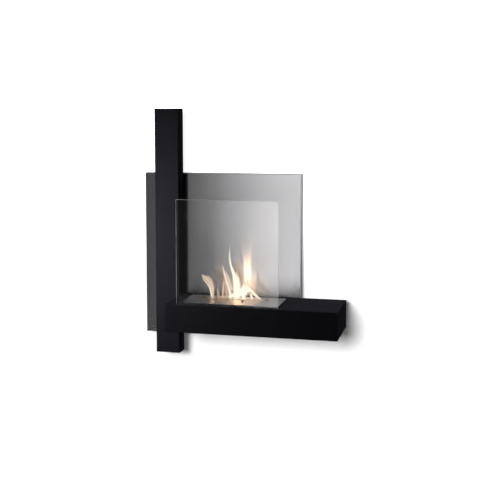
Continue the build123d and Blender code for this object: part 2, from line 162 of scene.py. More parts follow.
class Recipe:
    """One node tree, written from Python."""

    def __init__(self, tree):
        self.tree = tree

    def node(self, kind, settings=None, values=None):
        """Adds a node: its type, its settings, then the numbers or wires of its sockets."""
        node = self.tree.nodes.new(kind)
        for name, value in (settings or {}).items():
            setattr(node, name, value)
        for key, value in (values or {}).items():
            if isinstance(value, Wire):
                self.tree.links.new(value.socket, node.inputs[key])
            else:
                node.inputs[key].default_value = value
        return node

    def wire(self, node, output=0):
        return Wire(self, node.outputs[output])

    def maths(self, operation, first, second=None, use_clamp=False):
        values = {0: first} if second is None else {0: first, 1: second}
        settings = {"operation": operation, "use_clamp": use_clamp}
        return self.wire(self.node("ShaderNodeMath", settings, values))

    def larger(self, first, second):
        return self.maths("MAXIMUM", first, second)

    def colour(self, factor, first, second):
        """A colour between two others, by a factor that may vary."""
        # A Mix node has sockets for numbers, vectors and colours, and the colours' are 6, 7 and output 2.
        node = self.node("ShaderNodeMix", {"data_type": "RGBA"}, {0: factor, 6: first, 7: second})
        return self.wire(node, 2)

    def light_path(self, ray):
        return self.wire(self.node("ShaderNodeLightPath"), ray)

    def straight_through(self):
        """1 for what the camera sees through glass, without a bounce off anything on the way."""
        bounces = self.light_path("Glossy Depth") + self.light_path("Diffuse Depth")
        return self.light_path("Is Transmission Ray") * (bounces < 0.5)


class Finish(Recipe):
    """A material's node tree, with the parts that most finishes share."""

    def __init__(self, name):
        self.material = bpy.data.materials.new(name)
        self.material.use_nodes = True
        super().__init__(self.material.node_tree)
        self.tree.nodes.clear()
        self.place = self.wire(self.node("ShaderNodeTexCoord"), "Object")
        split = self.node("ShaderNodeSeparateXYZ", None, {0: self.place})
        self.x, self.y, self.z = (self.wire(split, axis) for axis in "XYZ")

    def noise(self, scale, detail=2.0, roughness=0.5, stretch=(1.0, 1.0, 1.0)):
        """Smooth noise on the object's own coordinates; scale is in features per metre."""
        mapping = self.node("ShaderNodeMapping", None, {"Vector": self.place, "Scale": stretch})
        node = self.node("ShaderNodeTexNoise", None, {
            "Vector": self.wire(mapping), "Scale": scale, "Detail": detail, "Roughness": roughness,
        })
        return self.wire(node)

    def bump(self, height, distance, strength):
        """A normal tilted by a height; distance is the height's real depth in metres."""
        values = {"Height": height, "Distance": distance, "Strength": strength}
        return self.wire(self.node("ShaderNodeBump", None, values))

    def skin(self, **values):
        """The main shader; spaces in a socket's name are written as underscores."""
        named = {key.replace("_", " "): value for key, value in values.items()}
        return self.wire(self.node("ShaderNodeBsdfPrincipled", None, named))

    def mixed(self, factor, first, second):
        return self.wire(self.node("ShaderNodeMixShader", None, {0: factor, 1: first, 2: second}))

    def done(self, surface):
        self.node("ShaderNodeOutputMaterial", None, {"Surface": surface})
        print("finish", self.material.name, len(self.tree.nodes), "nodes")
        return self.material


# %% [markdown]
# ## The wall and the floor
# The fireplace hangs on a plain white wall. One sheet, bent in a wide cove between wall and floor, gives a
# background with no line in it, as a photographer's paper roll does. It stands just behind y = 0, and the
# floor is far enough below to stay out of the picture.
#
# The paint is white and matt, and takes the fireplace's shadow. A small glow, for the camera, for mirrors
# and for what is seen through glass only, lifts the lit wall to pure white, without any light on the
# object. It is strong beside the upper half and again well below the foot, because the shadow shows only
# round the lower half. The sheet is see-through from behind, so that the fireplace's back can be looked at
# too, and the floor fades out in front, so that the brushed steel, which smears all it mirrors, shows
# little of it.

# %% Wall and floor
wall_gap = 1.5 * MM
floor_level = -1.39
cove_radius = 0.45
cove_steps = 16
wall_top = 3.4
floor_front = -0.6
floor_fade = 0.45
half_width = 6.0

profile = [(wall_gap, wall_top), (wall_gap, floor_level + cove_radius)]
for step in range(1, cove_steps + 1):
    turn = math.pi / 2 * step / cove_steps
    profile.append((
        wall_gap - cove_radius * (1 - math.cos(turn)),
        floor_level + cove_radius * (1 - math.sin(turn)),
    ))
profile.append((floor_front, floor_level))

sheet = bmesh.new()
rows = [[sheet.verts.new((side * half_width, y, z)) for side in (-1, 1)] for y, z in profile]
for upper, lower in zip(rows, rows[1:]):
    sheet.faces.new((upper[0], lower[0], lower[1], upper[1])).smooth = True
backdrop_mesh = bpy.data.meshes.new("backdrop")
sheet.to_mesh(backdrop_mesh)
sheet.free()
backdrop = bpy.data.objects.new("backdrop", backdrop_mesh)
scene.collection.objects.link(backdrop)
print("backdrop", len(backdrop_mesh.polygons), "faces, floor at", floor_level)

# %% Wall paint
glow_low, glow_high = 0.06, 0.92
glow_starts, glow_full = -0.45, 0.05
glow_returns, glow_back = -0.72, -1.0
floor_near, floor_far = -0.15, -0.5
paint_low, paint_high = (0.90, 0.90, 0.90, 1.0), (0.93, 0.93, 0.93, 1.0)
pure_white = (1.0, 1.0, 1.0, 1.0)

paint = Finish("wall_paint")
speckle = paint.noise(38.0, 4.0)
white = paint.colour(speckle, paint_low, paint_high)
matt = paint.wire(paint.node("ShaderNodeBsdfDiffuse", None, {"Color": white, "Roughness": 0.5}))
is_wall = paint.y.ramp(floor_far, floor_near)
seen = paint.light_path("Is Camera Ray") + is_wall * paint.light_path("Is Glossy Ray")
seen = (seen + paint.straight_through()).clamped()
off_shadow = paint.larger(paint.z.ramp(glow_starts, glow_full), paint.z.ramp(glow_returns, glow_back))
wall_glow = glow_low + (glow_high - glow_low) * off_shadow
glow = paint.node("ShaderNodeEmission", None, {"Color": pure_white, "Strength": seen * wall_glow})
lit_paint = paint.wire(paint.node("ShaderNodeAddShader", None, {0: matt, 1: paint.wire(glow)}))
clear = paint.wire(paint.node("ShaderNodeBsdfTransparent"))
from_behind = paint.wire(paint.node("ShaderNodeNewGeometry"), "Backfacing")
worn_out = 1.0 - paint.y.ramp(floor_front, floor_front + floor_fade)
pass_through = paint.larger(paint.larger(from_behind, worn_out), paint.light_path("Is Shadow Ray"))
backdrop_mesh.materials.append(paint.done(paint.mixed(pass_through, lit_paint, clear)))

# %% [markdown]
# ## The lamps
# The wall's shadow is narrow and soft and falls to the right, so the light on the wall comes from almost
# straight ahead, a little from the left. Such a lamp would also show in the brushed panel, which is
# bright on its right half only, so wall and fireplace get lamps of their own: two broad suns light only
# the backdrop, and the fireplace still casts its shadow there.
#
# The fireplace's own light is a tall soft box at the left, with a honeycomb that narrows its beam. It
# rakes over the black paint, is strongest on the column's middle, and fades towards the beam's far end. A
# weak one in front fills in, and a small one overhead lights the beam's top right of the burner. None of
# these three shows in the steel. A fourth, low behind the wall, shows the back, where the rails are.

# %% Lamps
def aim(lamp, place, target):
    lamp.location = place
    lamp.rotation_euler = (Vector(target) - Vector(place)).to_track_quat("-Z", "Y").to_euler()


def soft_box(name, place, target, size, watts, beam=180.0, in_mirrors=False):
    """A lamp for the fireplace alone; beam is the angle that its honeycomb lets through."""
    data = bpy.data.lights.new(name, "AREA")
    data.spread = math.radians(beam)
    data.shape = "RECTANGLE"
    data.size, data.size_y = size
    data.energy = watts
    lamp = bpy.data.objects.new(name, data)
    lamp.visible_camera = False
    lamp.visible_glossy = in_mirrors
    lamp.light_linking.receiver_collection = all_but_backdrop
    aim(lamp, place, target)
    scene.collection.objects.link(lamp)


def backdrop_sun(name, direction, strength, angle):
    """A broad sun that lights only the backdrop, where the fireplace still casts its shadow."""
    data = bpy.data.lights.new(name, "SUN")
    data.energy = strength
    data.angle = math.radians(angle)
    lamp = bpy.data.objects.new(name, data)
    aim(lamp, -Vector(direction), (0, 0, 0))
    lamp.light_linking.receiver_collection = backdrop_only
    scene.collection.objects.link(lamp)


backdrop_only = bpy.data.collections.new("backdrop_only")
backdrop_only.objects.link(backdrop)
all_but_backdrop = bpy.data.collections.new("all_but_backdrop")
all_but_backdrop.objects.link(backdrop)
all_but_backdrop.collection_objects[0].light_linking.link_state = "EXCLUDE"
backdrop_sun("wall_sun", direction=(0.14, 1.0, -0.28), strength=3.6, angle=19.0)
backdrop_sun("floor_sun", direction=(0.1, 0.05, -1.0), strength=0.15, angle=25.0)
soft_box("left_soft_box", (-1.10, -0.60, -0.10), (-0.21, -0.11, -0.19), (0.35, 0.55), watts=13.0, beam=84.0)
soft_box("front_fill", (-0.9, -3.0, 2.4), (0.0, -0.1, -0.2), (1.2, 1.2), watts=5.0)
soft_box("top_soft_box", (0.50, -0.17, 0.45), (0.47, -0.17, -0.40), (0.4, 0.3), watts=1.1, beam=70.0)
soft_box("back_soft_box", (-1.3, 1.9, -1.7), (0.0, 0.0, -0.2), (1.4, 1.4), watts=50.0, in_mirrors=True)

# %% [markdown]
# ## The room that the steel shows
# Brushed steel looks like the room in front of it. Here that room is dim, with one soft bright window
# ahead, so the panel goes from dark on its left to bright on its right, and the glass shows the same
# window as a faint veil. Only mirrors see the window, so it puts no light on the black paint. It is a
# smooth patch of the world's colour, by direction, so it has no edge for the glass to mirror. Its lower
# part stands a little further right, because the panel's dark side is wider near the beam.
#
# What lies behind the fireplace is the white of the wall: the camera, what is seen through glass, and
# metal that faces backwards all show that. Many flame skins can lie in one line of sight, so rays may
# pass more see-through layers than the few that they do by default.

# %% World
room_dim = 0.035
room_mirrored = 0.045
window_light = 2.4
window_left, window_full = -0.308, -0.197
window_skew = 0.035
skew_low, skew_high = -0.17, -0.10
window_right, window_gone = -0.08, 0.06
window_low, window_high = -0.40, -0.16
window_top_starts, window_top = -0.04, 0.16
ahead_starts, ahead_full = 0.1, 0.5
least_ahead = 0.05
behind_full = 0.35
see_through_layers = 48

world = bpy.data.worlds.new("room")
world.use_nodes = True
scene.world = world
room = Recipe(world.node_tree)
room.tree.nodes.clear()
look = room.wire(room.node("ShaderNodeTexCoord"), "Generated")
split = room.node("ShaderNodeSeparateXYZ", None, {0: look})
look_x, look_y, look_z = (room.wire(split, axis) for axis in "XYZ")
ahead = 0.0 - look_y
skew = window_skew * (1.0 - look_z.ramp(skew_low, skew_high))
sideways = look_x / room.larger(ahead, least_ahead) - skew
across = sideways.ramp(window_left, window_full) * (1.0 - sideways.ramp(window_right, window_gone))
height = look_z.ramp(window_low, window_high) * (1.0 - look_z.ramp(window_top_starts, window_top))
window = across * height * ahead.ramp(ahead_starts, ahead_full)
mirrored = room.light_path("Is Glossy Ray")
radiance = room_dim + (room_mirrored + window_light * window) * mirrored
behind = look_y.ramp(0.0, behind_full) * mirrored
backdrop_seen = room.light_path("Is Camera Ray") + room.straight_through()
backdrop_seen = (backdrop_seen + behind).clamped()
strength = radiance + backdrop_seen * (1.0 - radiance)
lit = room.wire(room.node("ShaderNodeBackground", None, {"Color": pure_white, "Strength": strength}))
room.node("ShaderNodeOutputWorld", None, {"Surface": lit})
scene.view_settings.view_transform = "Standard"
scene.cycles.transparent_max_bounces = see_through_layers
print("world", len(room.tree.nodes), "nodes")

# %% [markdown]
# ## Black powder coat
# Column and beam are sprayed with black powder and baked. The skin is matt, with a fine pebbled surface
# (orange peel) of about a millimetre, and a slow change of tone over a hand's width where the powder went
# on thicker. Noise at both sizes gives that, with a bump a few hundredths of a millimetre deep.

# %% Powder coat
black_thin, black_thick = (0.0078, 0.0079, 0.0098, 1.0), (0.0102, 0.0103, 0.0124, 1.0)
fleck_grey = (0.030, 0.030, 0.034, 1.0)
fleck_share = 0.3

coat = Finish("black_powder_coat")
cloud = coat.noise(9.0, 3.0)
pebble = coat.noise(900.0, 2.0, 0.6)
fleck = coat.noise(2600.0, 1.0).ramp(0.62, 0.74)
black = coat.colour(cloud, black_thin, black_thick)
black = coat.colour(fleck * fleck_share, black, fleck_grey)
coat_finish = coat.done(coat.skin(
    Base_Color=black,
    Roughness=0.72 + 0.08 * cloud + 0.06 * pebble,
    Specular_IOR_Level=0.0,
    Normal=coat.bump(pebble, 0.04 * MM, 0.6),
))

# %% [markdown]
# ## Brushed stainless steel
# The panel was brushed along its length, so its scratches run across it. They smear every reflection
# upright: the fire shows in the panel as a tall warm streak. Scratches that fine can't be modelled one by
# one, so the shader's anisotropy does the smearing, turned by a quarter so that it smears upright.
# Stretched noise adds the lines that can be seen from near by: long bands of slightly different gloss, and
# fine lines between them.
#
# The panel's folded sides are made near-black and duller in place of brushed steel, so that the panel ends
# in a thin dark line.

# %% Brushed steel
groove_tone = 0.92
cloud_spread = 0.02
quarter_turn = 0.25


def brushed(name, tint, roughness, band_stretch, line_stretch, spread):
    """Steel that was brushed along X, where both stretches are smallest and so draw the noise out."""
    steel = Finish(name)
    bands = steel.noise(34.0, 3.0, 0.6, band_stretch)
    lines = steel.noise(1500.0, 3.0, 0.7, line_stretch)
    cloud = steel.noise(3.2, 2.0, 0.5)
    groove = tuple(groove_tone * part for part in tint)
    tone = steel.colour(bands * 0.6 + lines * 0.4, groove + (1.0,), tint + (1.0,))
    gloss = roughness + spread * (bands + lines - 1.0) + cloud_spread * (cloud - 0.5)
    return steel, tone, gloss, lines


# %% Brushed panel
panel_low, panel_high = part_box("back_panel")
bend_radius = 2.0 * MM
black_from = 0.75 * bend_radius
fold_black = (0.020, 0.020, 0.022, 1.0)
fold_duller = 0.35

steel, tone, gloss, lines = brushed(
    "brushed_panel_steel", tint=(0.68, 0.67, 0.685), roughness=0.25,
    band_stretch=(0.06, 1.0, 4.0), line_stretch=(0.004, 1.0, 1.0), spread=0.03,
)
panel_middle = (panel_low + panel_high) / 2
past_side = abs(steel.x - panel_middle.x) - (panel_high.x - panel_middle.x - bend_radius)
past_end = abs(steel.z - panel_middle.z) - (panel_high.z - panel_middle.z - bend_radius)
behind_face = steel.y > panel_low.y + black_from
blackened = steel.larger(past_side > 0.0, past_end > 0.0) * behind_face
panel_finish = steel.done(steel.skin(
    Base_Color=steel.colour(blackened, tone, fold_black),
    Metallic=1.0 - blackened,
    Roughness=gloss + blackened * fold_duller,
    Anisotropic=1.0,
    Anisotropic_Rotation=quarter_turn,
    Normal=steel.bump(lines, 0.01 * MM, 0.5),
))

# %% [markdown]
# ## Burner steel
# The burner's plate, tank and slide are brushed stainless too. Flames heat the plate round its slot, and
# hot stainless steel takes a thin oxide that first looks straw yellow, then brown. The tint follows the
# distance from the slot's edge, made uneven by noise, so it looks heated and not painted.

# %% Burner steel
plate_low, plate_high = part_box("burner_top_plate")
slot_length = 264.0 * MM
slot_width = 24.0 * MM
slot_behind_middle = 31.0 * MM
slot_middle = Vector((
    (plate_low.x + plate_high.x) / 2, (plate_low.y + plate_high.y) / 2 + slot_behind_middle, plate_high.z,
))
print("slot middle", [round(v / MM, 1) for v in slot_middle])

straw_tone, straw_share = (0.60, 0.46, 0.24, 1.0), 0.55
brown_tone, brown_share = (0.26, 0.17, 0.11, 1.0), 0.6
straw_near, straw_far = 4.0 * MM, 26.0 * MM
brown_near, brown_far = -2.0 * MM, 9.0 * MM
tint_wander = 12.0 * MM

steel, tone, gloss, lines = brushed(
    "burner_steel", tint=(0.56, 0.55, 0.55), roughness=0.34,
    band_stretch=(0.15, 3.0, 3.0), line_stretch=(0.005, 1.0, 1.0), spread=0.08,
)
off_x = steel.larger(abs(steel.x - slot_middle.x) - slot_length / 2, 0.0)
off_y = steel.larger(abs(steel.y - slot_middle.y) - slot_width / 2, 0.0)
away = (off_x * off_x + off_y * off_y) ** 0.5 + tint_wander * (steel.noise(60.0, 3.0) - 0.5)
straw = 1.0 - away.ramp(straw_near, straw_far)
brown = 1.0 - away.ramp(brown_near, brown_far)
tone = steel.colour(straw * straw_share, tone, straw_tone)
tone = steel.colour(brown * brown_share, tone, brown_tone)
burner_finish = steel.done(steel.skin(
    Base_Color=tone,
    Metallic=1.0,
    Roughness=gloss + 0.10 * brown,
    Anisotropic=0.5,
    Anisotropic_Rotation=quarter_turn,
    Normal=steel.bump(lines, 0.01 * MM, 0.25),
))

# %% [markdown]
# ## Zinc
# The rails and channels behind the panel are galvanised: the zinc sets in flat crystals a centimetre or
# so across, each with its own grey. Voronoi cells copy them well, because each cell has a random colour.

# %% Zinc
crystals_per_metre = 95.0
crystal_dark, crystal_pale = (0.42, 0.43, 0.45, 1.0), (0.62, 0.63, 0.65, 1.0)
frost_grey = (0.50, 0.51, 0.52, 1.0)

zinc = Finish("galvanised_zinc")
crystals = zinc.node("ShaderNodeTexVoronoi", None, {"Vector": zinc.place, "Scale": crystals_per_metre})
crystal = zinc.wire(zinc.node("ShaderNodeSeparateColor", None, {0: zinc.wire(crystals, "Color")}), "Red")
frost = zinc.noise(260.0, 3.0)
grey = zinc.colour(crystal, crystal_dark, crystal_pale)
grey = zinc.colour(frost.ramp(0.5, 0.8) * 0.4, grey, frost_grey)
zinc_finish = zinc.done(zinc.skin(
    Base_Color=grey,
    Metallic=0.9,
    Roughness=0.36 + 0.2 * crystal + 0.1 * frost,
    Normal=zinc.bump(crystal + 0.3 * frost, 0.03 * MM, 0.3),
))

# %% [markdown]
# ## Fastener steel
# Bolts and washers are bright zinc plated: a smooth bluish grey, with duller spots where spanners and
# hands have worn it. One noise places the wear, and it changes colour and gloss together.

# %% Fastener steel
plate_blue, worn_grey = (0.56, 0.57, 0.60, 1.0), (0.40, 0.39, 0.38, 1.0)

plated = Finish("plated_fasteners")
wear = plated.noise(420.0, 3.0).ramp(0.55, 0.75)
swirl = plated.noise(2400.0, 2.0)
fastener_finish = plated.done(plated.skin(
    Base_Color=plated.colour(wear, plate_blue, worn_grey),
    Metallic=1.0,
    Roughness=0.28 + 0.18 * wear + 0.08 * swirl,
    Normal=plated.bump(swirl, 0.01 * MM, 0.3),
))

# %% [markdown]
# ## Rubber
# Gaskets, pads and wall buffers are black rubber with a dull, faintly grained skin. Old rubber greys in
# patches (bloom), so a slow noise mixes in a paler black.

# %% Rubber
rubber_black, bloom_black = (0.018, 0.018, 0.019, 1.0), (0.036, 0.035, 0.034, 1.0)

rubber = Finish("black_rubber")
grain = rubber.noise(1400.0, 3.0)
bloom = rubber.noise(70.0, 3.0).ramp(0.45, 0.8)
rubber_finish = rubber.done(rubber.skin(
    Base_Color=rubber.colour(bloom, rubber_black, bloom_black),
    Roughness=0.72 + 0.12 * grain,
    Specular_IOR_Level=0.35,
    Normal=rubber.bump(grain, 0.04 * MM, 0.4),
))

# %% [markdown]
# ## The snuffer's knob
# The knob is turned from stainless steel, and the fire beside it has browned it. A noise that is squeezed
# along Z gives rings round it, as a lathe tool leaves them.

# %% Knob
ring_dark, ring_pale = (0.26, 0.23, 0.20, 1.0), (0.34, 0.31, 0.27, 1.0)
heat_brown = (0.24, 0.16, 0.10, 1.0)

knob = Finish("knob_steel")
turned = knob.noise(900.0, 2.0, 0.5, (1.0, 1.0, 6.0))
browned = knob.noise(260.0, 2.0).ramp(0.4, 0.7)
knob_tone = knob.colour(turned, ring_dark, ring_pale)
knob_finish = knob.done(knob.skin(
    Base_Color=knob.colour(browned * 0.5, knob_tone, heat_brown),
    Metallic=1.0,
    Roughness=0.34 + 0.14 * turned,
    Normal=knob.bump(turned, 0.02 * MM, 0.4),
))

# %% [markdown]
# ## The glass screen
# The screen is 5 mm toughened glass with ground edges. Its two faces are clear, and its rim is frosted and
# slightly green, because there one looks along the sheet. A mask by distance from the sheet's outline
# turns the clear glass into that rim. Light from the lamps goes straight through: a shadow ray meets
# a transparent shader instead of glass, which keeps the shadow on the wall pale and the picture clean.

# %% Glass
glass_low, glass_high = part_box("glass_screen")
rim_depth = 0.6 * MM
face_clear, rim_green = (0.985, 0.985, 0.985, 1.0), (0.36, 0.44, 0.40, 1.0)
shadow_tint = (0.94, 0.94, 0.94, 1.0)

pane = Finish("screen_glass")
half_x = (glass_high.x - glass_low.x) / 2 - rim_depth
from_side = abs(pane.x - (glass_high.x + glass_low.x) / 2) - half_x
from_top = pane.z - (glass_high.z - rim_depth)
rim = pane.larger(from_side > 0.0, from_top > 0.0)
ground = pane.noise(2600.0, 2.0)
pane_skin = pane.skin(
    Base_Color=pane.colour(rim, face_clear, rim_green),
    Roughness=rim * (0.28 + 0.2 * ground),
    IOR=1.5,
    Transmission_Weight=1.0,
    Normal=pane.bump(ground * rim, 0.02 * MM, 0.3),
)
shadow_clear = pane.wire(pane.node("ShaderNodeBsdfTransparent", None, {"Color": shadow_tint}))
glass_finish = pane.done(pane.mixed(pane.light_path("Is Shadow Ray"), pane_skin, shadow_clear))

# %% [markdown]
# ## Ceramic wool
# Ethanol soaks into a block of ceramic wool, which keeps it from spilling and lets it burn evenly. The
# block fills the tank below the perforated retainer. In CAD it is a plain box; here it is a felted slab
# with rounded edges, a slightly quilted top and loose fibres, all inside the same box.

# %% Wool finish
wool_shade, wool_cream = (0.62, 0.60, 0.55, 1.0), (0.86, 0.85, 0.81, 1.0)
scorch_brown, scorch_share = (0.34, 0.29, 0.24, 1.0), 0.35

felt = Finish("ceramic_wool")
strands_along = felt.noise(900.0, 4.0, 0.65, (0.35, 1.0, 1.0))
strands_across = felt.noise(1100.0, 4.0, 0.65, (1.0, 0.3, 1.0))
strands = strands_along * 0.5 + strands_across * 0.5
scorch = felt.noise(28.0, 3.0).ramp(0.5, 0.75)
cream = felt.colour(strands, wool_shade, wool_cream)
wool_finish = felt.done(felt.skin(
    Base_Color=felt.colour(scorch * scorch_share, cream, scorch_brown),
    Roughness=0.88 + 0.1 * strands,
    Specular_IOR_Level=0.1,
    Normal=felt.bump(strands, 0.5 * MM, 0.8),
))

# %% [markdown]
# Only the wool and the flames are made here, and they share four helpers: a named socket for a Geometry
# Nodes tree, a tree put on an object, the finished shape as a plain mesh, and a piece that rides on one of
# the CAD model's bodies. A modifier knows its tree's inputs by their identifiers, not by their names.

# %% Helpers for new pieces
def named_socket(tree, name, kind, default=None, in_out="INPUT"):
    socket = tree.interface.new_socket(name, in_out=in_out, socket_type=kind)
    if default is not None:
        socket.default_value = default
    return socket.identifier


def run_tree(source, name, tree, ids, sizes):
    """Puts a tree on an object as a modifier, and sets its named sizes."""
    modifier = source.modifiers.new(name, "NODES")
    modifier.node_group = tree
    for key, size in sizes.items():
        modifier[ids[key]] = size


def evaluated_mesh(source, name):
    """What a finished object's modifiers make, as a plain mesh."""
    graph = bpy.context.evaluated_depsgraph_get()
    graph.update()
    mesh = bpy.data.meshes.new_from_object(source.evaluated_get(graph))
    mesh.name = name
    return mesh


def new_piece(name, mesh, body, finish):
    """A piece that is finished, placed by its mesh, and rides on a body."""
    piece = bpy.data.objects.new(name, mesh)
    scene.collection.objects.link(piece)
    if not any(material is finish for material in mesh.materials):
        mesh.materials.clear()
        mesh.materials.append(finish)
    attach(piece, body)
    return piece


# %% [markdown]
# The slab starts as a cube of size 1, cut into cells of about 5 mm. Its points are spread to the block's
# size, and those near an edge are pulled in onto a rounded box. The top gets a square grid of low puffs,
# as a quilt has, and no puff rises above the block.

# %% Wool slab
wool_low, wool_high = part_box("wool_block")
wool_size = wool_high - wool_low
wool_middle = (wool_high + wool_low) / 2
wool_cell = 5.0 * MM
wool_round = 5.0 * MM
wool_sag = 1.6 * MM
quilt_pitch = 46.0 * MM
uncut_edge = 0.9
top_points = 0.4

slab = bmesh.new()
bmesh.ops.create_cube(slab, size=1.0)
for axis in range(3):
    cuts = max(2, round(wool_size[axis] / wool_cell)) - 1
    along = [e for e in slab.edges if abs((e.verts[0].co - e.verts[1].co)[axis]) > uncut_edge]
    bmesh.ops.subdivide_edges(slab, edges=along, cuts=cuts, use_grid_fill=True)
for vert in slab.verts:
    place = Vector(vert.co[i] * wool_size[i] for i in range(3))
    core = Vector(
        max(-wool_size[i] / 2 + wool_round, min(wool_size[i] / 2 - wool_round, place[i])) for i in range(3)
    )
    reach = place - core
    if reach.length > wool_round:
        place = core + reach.normalized() * wool_round
    if vert.co.z > top_points:
        place.z -= wool_sag * (
            0.5 - 0.25 * math.cos(math.tau * place.x / quilt_pitch)
            - 0.25 * math.cos(math.tau * place.y / quilt_pitch)
        )
    vert.co = wool_middle + place
slab_mesh = bpy.data.meshes.new("wool_slab")
slab.to_mesh(slab_mesh)
slab.free()
print("wool slab", len(slab_mesh.polygons), "faces")

# %% [markdown]
# The loose fibres are one curl, repeated all over the slab by Geometry Nodes: points scattered with a
# fixed seed, the curl put on each at a random turn, and everything made one real mesh.

# %% Loose fibres
fibre_sizes = {"Density": 9000.0, "Length": 9.0 * MM, "Thickness": 0.12 * MM}
fibre_middle = (0.5, 0.3, 0.06)
fibre_tilt = 0.12
scatter_seed, turn_seed = 7, 11


def fibre_tree(finish):
    """A slab's own mesh with curls on it; density is in fibres per square metre."""
    tree = bpy.data.node_groups.new("loose_fibres", "GeometryNodeTree")
    recipe = Recipe(tree)
    named_socket(tree, "Slab", "NodeSocketGeometry")
    ids = {name: named_socket(tree, name, "NodeSocketFloat", size) for name, size in fibre_sizes.items()}
    named_socket(tree, "Felt", "NodeSocketGeometry", in_out="OUTPUT")
    given = recipe.node("NodeGroupInput")
    slab_wire = recipe.wire(given, "Slab")
    length = recipe.wire(given, "Length")
    points = recipe.node("GeometryNodeDistributePointsOnFaces", None, {
        "Mesh": slab_wire, "Density": recipe.wire(given, "Density"), "Seed": scatter_seed,
    })
    end = recipe.wire(recipe.node("ShaderNodeCombineXYZ", None, {0: length}))
    bow = recipe.wire(recipe.node("ShaderNodeCombineXYZ", None, {
        axis: length * share for axis, share in enumerate(fibre_middle)
    }))
    curl = recipe.node("GeometryNodeCurveQuadraticBezier", None, {
        "Resolution": 4, "Start": (0.0, 0.0, 0.0), "Middle": bow, "End": end,
    })
    ring = recipe.node("GeometryNodeCurvePrimitiveCircle", None, {
        "Resolution": 3, "Radius": recipe.wire(given, "Thickness"),
    })
    fibre = recipe.node("GeometryNodeCurveToMesh", None, {
        "Curve": recipe.wire(curl), "Profile Curve": recipe.wire(ring), "Fill Caps": True,
    })
    spin = recipe.node("FunctionNodeRandomValue", {"data_type": "FLOAT_VECTOR"}, {
        0: (-fibre_tilt, -fibre_tilt, 0.0), 1: (fibre_tilt, fibre_tilt, math.tau), "Seed": turn_seed,
    })
    laid = recipe.node("GeometryNodeInstanceOnPoints", None, {
        "Points": recipe.wire(points), "Instance": recipe.wire(fibre), "Rotation": recipe.wire(spin),
    })
    joined = recipe.node("GeometryNodeJoinGeometry")
    tree.links.new(recipe.wire(laid).socket, joined.inputs[0])
    tree.links.new(slab_wire.socket, joined.inputs[0])
    real = recipe.node("GeometryNodeRealizeInstances", None, {0: recipe.wire(joined)})
    coated = recipe.node("GeometryNodeSetMaterial", None, {0: recipe.wire(real), "Material": finish})
    recipe.node("NodeGroupOutput", None, {0: recipe.wire(coated)})
    return tree, ids


tree, ids = fibre_tree(wool_finish)
maker = bpy.data.objects.new("wool_maker", slab_mesh)
scene.collection.objects.link(maker)
run_tree(maker, "fibres", tree, ids, fibre_sizes)
wool_mesh = evaluated_mesh(maker, "felted_wool")
bpy.data.objects.remove(maker)
for vert in wool_mesh.vertices:
    vert.co = Vector(max(wool_low[i], min(wool_high[i], vert.co[i])) for i in range(3))
wool = new_piece("felted_wool", wool_mesh, "burner", wool_finish)
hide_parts("wool_block")
print("felted wool", len(wool_mesh.polygons), "faces")

# %% [markdown]
# ## Dressing the CAD pieces
# Each CAD node already names its finish, so the script only swaps that plain material for the finished
# one. The meshes stay as they are.

# %% Dress the CAD pieces
finishes = {
    "black_coating": coat_finish,
    "brushed_panel": panel_finish,
    "burner_steel": burner_finish,
    "zinc": zinc_finish,
    "fastener_steel": fastener_finish,
    "screen_glass": glass_finish,
    "rubber": rubber_finish,
    "wool": wool_finish,
    "knob_steel": knob_finish,
}
for node in nodes.values():
    for slot in node.material_slots:
        slot.material = finishes[slot.material.name]
print("dressed", len(nodes), "CAD pieces")
